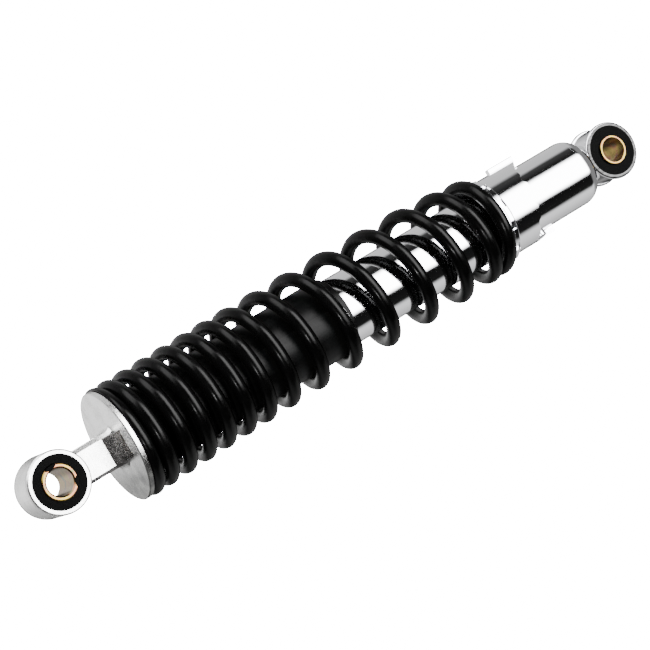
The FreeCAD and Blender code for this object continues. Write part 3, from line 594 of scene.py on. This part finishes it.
def build_camera():
    """The camera looks down on the upright damper, rolled so that it lies across the picture."""
    azimuth = math.radians(CAMERA_AZIMUTH)
    elevation = math.radians(CAMERA_ELEVATION)
    roll = math.radians(CAMERA_ROLL)
    back = Vector((math.sin(azimuth) * math.cos(elevation), -math.cos(azimuth) * math.cos(elevation),
                   math.sin(elevation)))
    up_seen = (Vector((0, 0, 1)) - back * back.z).normalized()
    side = up_seen.cross(back)
    right = up_seen * math.cos(roll) + side * math.sin(roll)
    top = up_seen * math.sin(roll) - side * math.cos(roll)
    data = bpy.data.cameras.new("camera")
    data.lens = CAMERA_LENS
    data.sensor_width = SENSOR_WIDTH
    camera = bpy.data.objects.new("camera", data)
    bpy.context.scene.collection.objects.link(camera)
    turn = Matrix((right, top, back)).transposed().to_4x4()
    aim = UPPER_EYE - Vector((0, 0, AIM_DEPTH)) + right * AIM_RIGHT + top * AIM_TOP
    camera.matrix_world = Matrix.Translation(aim + back * CAMERA_DISTANCE) @ turn
    bpy.context.scene.camera = camera


# brightness round the damper, by the angle from -Y towards +X in degrees: below eye level and above it
LOW_WALLS = [(-180, 0.03), (-158, 0.05), (-134, 0.7), (-86, 1.1), (-68, 0.012), (-32, 0.008),
             (-14, 16.0), (38, 16.0), (56, 0.015), (82, 0.05), (98, 0.75), (145, 0.85), (163, 0.06),
             (180, 0.03)]
HIGH_WALLS = [(-180, 1.7), (-166, 0.8), (-150, 0.12), (-112, 0.8), (-70, 0.06), (20, 0.06), (48, 0.2),
              (60, 7.0), (80, 7.0), (96, 0.4), (140, 1.0), (180, 1.7)]
FLOOR_BAND = (-0.80, -0.62)     # heights, from -1 to 1, over which one brightness turns into the next
WALL_BAND = (-0.22, -0.05)
TOP_BAND = (0.58, 0.82)
FLOOR_LIGHT = 0.25
TOP_LIGHT = 0.08
BACKDROP = 24.0                 # the brightness that the camera sees behind the damper
LAMP_STRENGTH = 1.2
LAMP_SIZE = 3.0                 # apparent size, in degrees
LAMP_AZIMUTH = -22.0
LAMP_ELEVATION = 38.0
FLOOR_REACH = 4.0
FLOOR_DROP = 0.25               # from the damper's lower end


class Studio:
    """The world's node tree, with short calls for what this studio uses."""

    def __init__(self):
        world = bpy.data.worlds.new("studio")
        bpy.context.scene.world = world
        world.use_nodes = True
        self.tree = world.node_tree
        self.tree.nodes.clear()
        place = self.tree.nodes.new("ShaderNodeTexCoord").outputs["Generated"]
        parts = self.tree.nodes.new("ShaderNodeSeparateXYZ")
        self.link(place, parts.inputs["Vector"])
        self.height = parts.outputs["Z"]
        away = self.math("MULTIPLY", parts.outputs["Y"], -1.0)
        angle = self.math("ARCTAN2", parts.outputs["X"], away)
        self.share = self.mapped(angle, -math.pi, math.pi, "LINEAR")

    def link(self, source, target):
        self.tree.links.new(source, target)

    def math(self, operation, first, second):
        made = self.tree.nodes.new("ShaderNodeMath")
        made.operation = operation
        self.link(first, made.inputs[0])
        if isinstance(second, float):
            made.inputs[1].default_value = second
        else:
            self.link(second, made.inputs[1])
        return made.outputs["Value"]

    def mapped(self, value, low, high, interpolation="SMOOTHSTEP"):
        """The value's range low to high mapped onto 0 to 1."""
        made = self.tree.nodes.new("ShaderNodeMapRange")
        made.interpolation_type = interpolation
        made.inputs["From Min"].default_value = low
        made.inputs["From Max"].default_value = high
        self.link(value, made.inputs["Value"])
        return made.outputs["Result"]

    def light(self, strength, colour=None):
        """An even light, or one coloured by a socket."""
        made = self.tree.nodes.new("ShaderNodeBackground")
        made.inputs["Color"].default_value = (1, 1, 1, 1)
        made.inputs["Strength"].default_value = strength
        if colour is not None:
            self.link(colour, made.inputs["Color"])
        return made.outputs["Background"]

    def walls(self, levels):
        """Light all round, from (angle in degrees, level) stops."""
        ring = self.tree.nodes.new("ShaderNodeValToRGB")
        ring.color_ramp.interpolation = "EASE"
        elements = ring.color_ramp.elements
        while len(elements) < len(levels):
            elements.new(0.5)
        brightest = max(level for _, level in levels)
        for element, (degrees, level) in zip(elements, levels):
            element.position = (degrees + 180) / 360
            shade = level / brightest
            element.color = (shade, shade, shade, 1)
        self.link(self.share, ring.inputs["Fac"])
        return self.light(brightest, ring.outputs["Color"])

    def mix(self, share, first, second):
        made = self.tree.nodes.new("ShaderNodeMixShader")
        self.link(share, made.inputs["Fac"])
        self.link(first, made.inputs[1])
        self.link(second, made.inputs[2])
        return made.outputs["Shader"]


def build_world():
    """Tall soft lights with dark gaps between them, and a white backdrop behind everything."""
    studio = Studio()
    low = studio.mix(studio.mapped(studio.height, *FLOOR_BAND), studio.light(FLOOR_LIGHT),
                     studio.walls(LOW_WALLS))
    walls = studio.mix(studio.mapped(studio.height, *WALL_BAND), low, studio.walls(HIGH_WALLS))
    room = studio.mix(studio.mapped(studio.height, *TOP_BAND), walls, studio.light(TOP_LIGHT))
    seen = studio.tree.nodes.new("ShaderNodeLightPath").outputs["Is Camera Ray"]
    output = studio.tree.nodes.new("ShaderNodeOutputWorld")
    studio.link(studio.mix(seen, room, studio.light(BACKDROP)), output.inputs["Surface"])


def build_lamp():
    """A small lamp up to the left, for the points of light on the spring's gloss coat."""
    data = bpy.data.lights.new("lamp", "SUN")
    data.energy = LAMP_STRENGTH
    data.angle = math.radians(LAMP_SIZE)
    lamp = bpy.data.objects.new("lamp", data)
    azimuth = math.radians(LAMP_AZIMUTH)
    elevation = math.radians(LAMP_ELEVATION)
    towards = Vector((math.sin(azimuth) * math.cos(elevation), -math.cos(azimuth) * math.cos(elevation),
                      math.sin(elevation)))
    lamp.rotation_euler = towards.to_track_quat("Z", "Y").to_euler()
    bpy.context.scene.collection.objects.link(lamp)


def build_floor():
    """A plain pale floor well below the hanging damper."""
    level = cad_box[0].z - FLOOR_DROP
    square = ((-1, -1), (1, -1), (1, 1), (-1, 1))
    corners = [(x * FLOOR_REACH, y * FLOOR_REACH, level) for x, y in square]
    floor = new_piece("floor", corners, [(0, 1, 2, 3)], smooth=False)
    shader = Shader("floor_paint", (0.9, 0.9, 0.9), roughness=0.8)
    shader.surface.inputs["Emission Color"].default_value = (1, 1, 1, 1)
    shader.surface.inputs["Emission Strength"].default_value = BACKDROP
    floor.data.materials.append(shader.material)
    floor.visible_glossy = False
    floor.visible_diffuse = False


build_camera()
build_world()
build_lamp()
build_floor()
